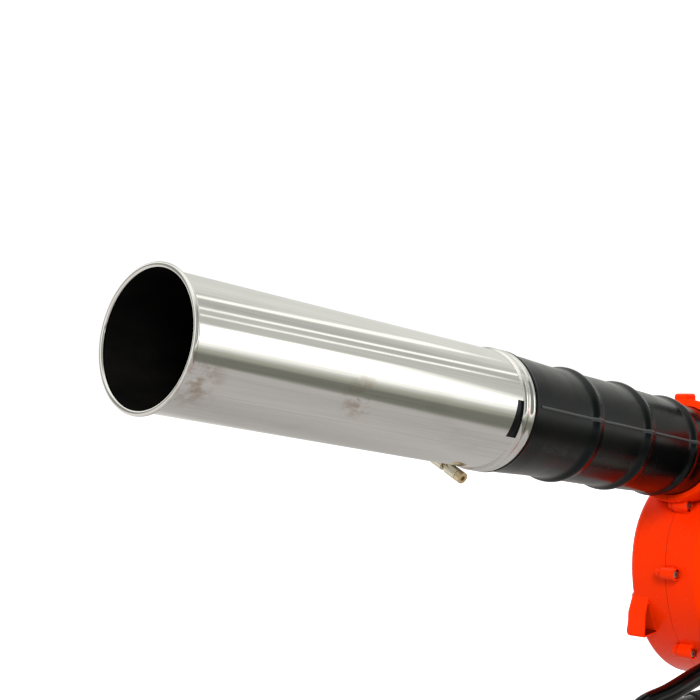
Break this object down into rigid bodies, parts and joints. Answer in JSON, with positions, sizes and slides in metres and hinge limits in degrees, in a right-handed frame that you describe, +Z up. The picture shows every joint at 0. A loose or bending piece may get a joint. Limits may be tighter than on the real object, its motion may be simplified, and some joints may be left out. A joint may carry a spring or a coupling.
{
  "type": "leaf blower",
  "caption": "Petrol hand-held leaf blower with a long steel nozzle, black plastic pipe, orange fan housing, small engine, top handle and bent-tube stand.",
  "frame": {"origin": "middle of the bounding box footprint, on the floor the stand rests on", "axes": "+X forward to the nozzle mouth, +Y to the operator's left (engine side), +Z up"},
  "size_m": [0.817, 0.21, 0.3972],
  "materials": {
    "nozzle_steel": "polished stainless sheet with faint stains",
    "zinc": "bright zinc plated",
    "gold_zinc": "yellow zinc plated",
    "black_plastic": "glossy moulded",
    "orange_plastic": "glossy moulded",
    "grey_plastic": "fine texture",
    "red_plastic": "fine texture",
    "aluminium": "die cast",
    "dark_steel": "heat darkened",
    "rubber": "matte",
    "ceramic": "glazed",
    "foam": "open cell foam, matte",
    "tank_plastic": "milky moulded",
    "painted_tube": "gloss black paint"
  },
  "bodies": {
    "machine": {"nozzle_tube": "nozzle_steel", "clamp_barrel_near": "zinc", "clamp_barrel_far": "zinc", "clamp_nut": "zinc", "clamp_bolt": "gold_zinc", "blower_pipe": "black_plastic", "intake_grille": "black_plastic", "flywheel_housing": "black_plastic", "ignition_coil": "black_plastic", "muffler_guard": "black_plastic", "filter_base": "black_plastic", "top_handle": "black_plastic", "bracket_front": "black_plastic", "bracket_rear": "black_plastic", "volute_far_half": "orange_plastic", "volute_near_half": "orange_plastic", "filter_cover": "orange_plastic", "starter_housing": "orange_plastic", "cylinder_cover": "orange_plastic", "insulator": "red_plastic", "crankcase": "aluminium", "cylinder": "aluminium", "carburettor": "aluminium", "muffler": "dark_steel", "volute_screw_1": "dark_steel", "volute_screw_2": "dark_steel", "volute_screw_3": "dark_steel", "volute_screw_4": "dark_steel", "volute_screw_5": "dark_steel", "volute_screw_6": "dark_steel", "spark_plug_boot": "rubber", "ignition_lead": "rubber", "fuel_line": "rubber", "throttle_cable": "rubber", "rubber_foot_front": "rubber", "rubber_foot_rear": "rubber", "rubber_foot_side_front": "rubber", "rubber_foot_side_rear": "rubber", "spark_plug": "ceramic", "filter_element": "foam", "fuel_tank": "tank_plastic", "stand_tube": "painted_tube"},
    "crank_train": {"crankshaft": "dark_steel", "impeller": "black_plastic", "flywheel": "aluminium", "starter_cup": "zinc"},
    "pulley": {"starter_pulley": "grey_plastic"},
    "starter_grip": {"starter_handle": "black_plastic"},
    "trigger": {"throttle_trigger": "grey_plastic"},
    "cruise": {"cruise_lever": "grey_plastic"},
    "stop_button": {"stop_switch": "red_plastic"},
    "primer": {"primer_bulb": "rubber"},
    "choke": {"choke_lever": "grey_plastic"},
    "air_filter_knob": {"filter_knob": "black_plastic"},
    "tank_cap": {"fuel_cap": "black_plastic"}
  },
  "joints": [
    {"name": "crank_spin", "type": "hinge", "parent": "machine", "child": "crank_train", "pos_m": [-0.2476, -0.0325, 0.15], "axis": [0, 1, 0], "continuous": true},
    {"name": "starter_pull", "type": "slide", "parent": "machine", "child": "starter_grip", "axis": [0, 0, 1], "range_m": [0, 0.5], "stiffness_N_per_m": 6, "springref_m": -0.6},
    {"name": "pulley_spin", "type": "hinge", "parent": "machine", "child": "pulley", "pos_m": [-0.2476, 0.0845, 0.15], "axis": [0, 1, 0], "range_deg": [-1450, 0]},
    {"name": "trigger_squeeze", "type": "hinge", "parent": "machine", "child": "trigger", "pos_m": [-0.2636, -0.0115, 0.36], "axis": [0, 1, 0], "range_deg": [0, 14], "stiffness_Nm_per_rad": 0.25, "springref_deg": -14.32},
    {"name": "cruise_set", "type": "hinge", "parent": "machine", "child": "cruise", "pos_m": [-0.2556, 0.0055, 0.364], "axis": [0, 1, 0], "range_deg": [0, 50]},
    {"name": "stop_press", "type": "slide", "parent": "machine", "child": "stop_button", "axis": [0, -1, 0], "range_m": [0, 0.003], "stiffness_N_per_m": 400, "springref_m": -0.002},
    {"name": "primer_press", "type": "slide", "parent": "machine", "child": "primer", "axis": [0, -1, 0], "range_m": [0, 0.003], "stiffness_N_per_m": 300, "springref_m": -0.002},
    {"name": "choke_turn", "type": "hinge", "parent": "machine", "child": "choke", "pos_m": [-0.3016, 0.0675, 0.226], "axis": [0, 1, 0], "range_deg": [0, 40]},
    {"name": "filter_knob_turn", "type": "hinge", "parent": "machine", "child": "air_filter_knob", "pos_m": [-0.3576, 0.0495, 0.217], "axis": [1, 0, 0], "range_deg": [0, 90]},
    {"name": "fuel_cap_turn", "type": "hinge", "parent": "machine", "child": "tank_cap", "pos_m": [-0.2996, 0.0935, 0.072], "axis": [0, 1, 0], "range_deg": [0, 180]}
  ],
  "couplings": [
    {"joint": "pulley_spin", "follows": "starter_pull", "rad_per_m": -50}
  ]
}
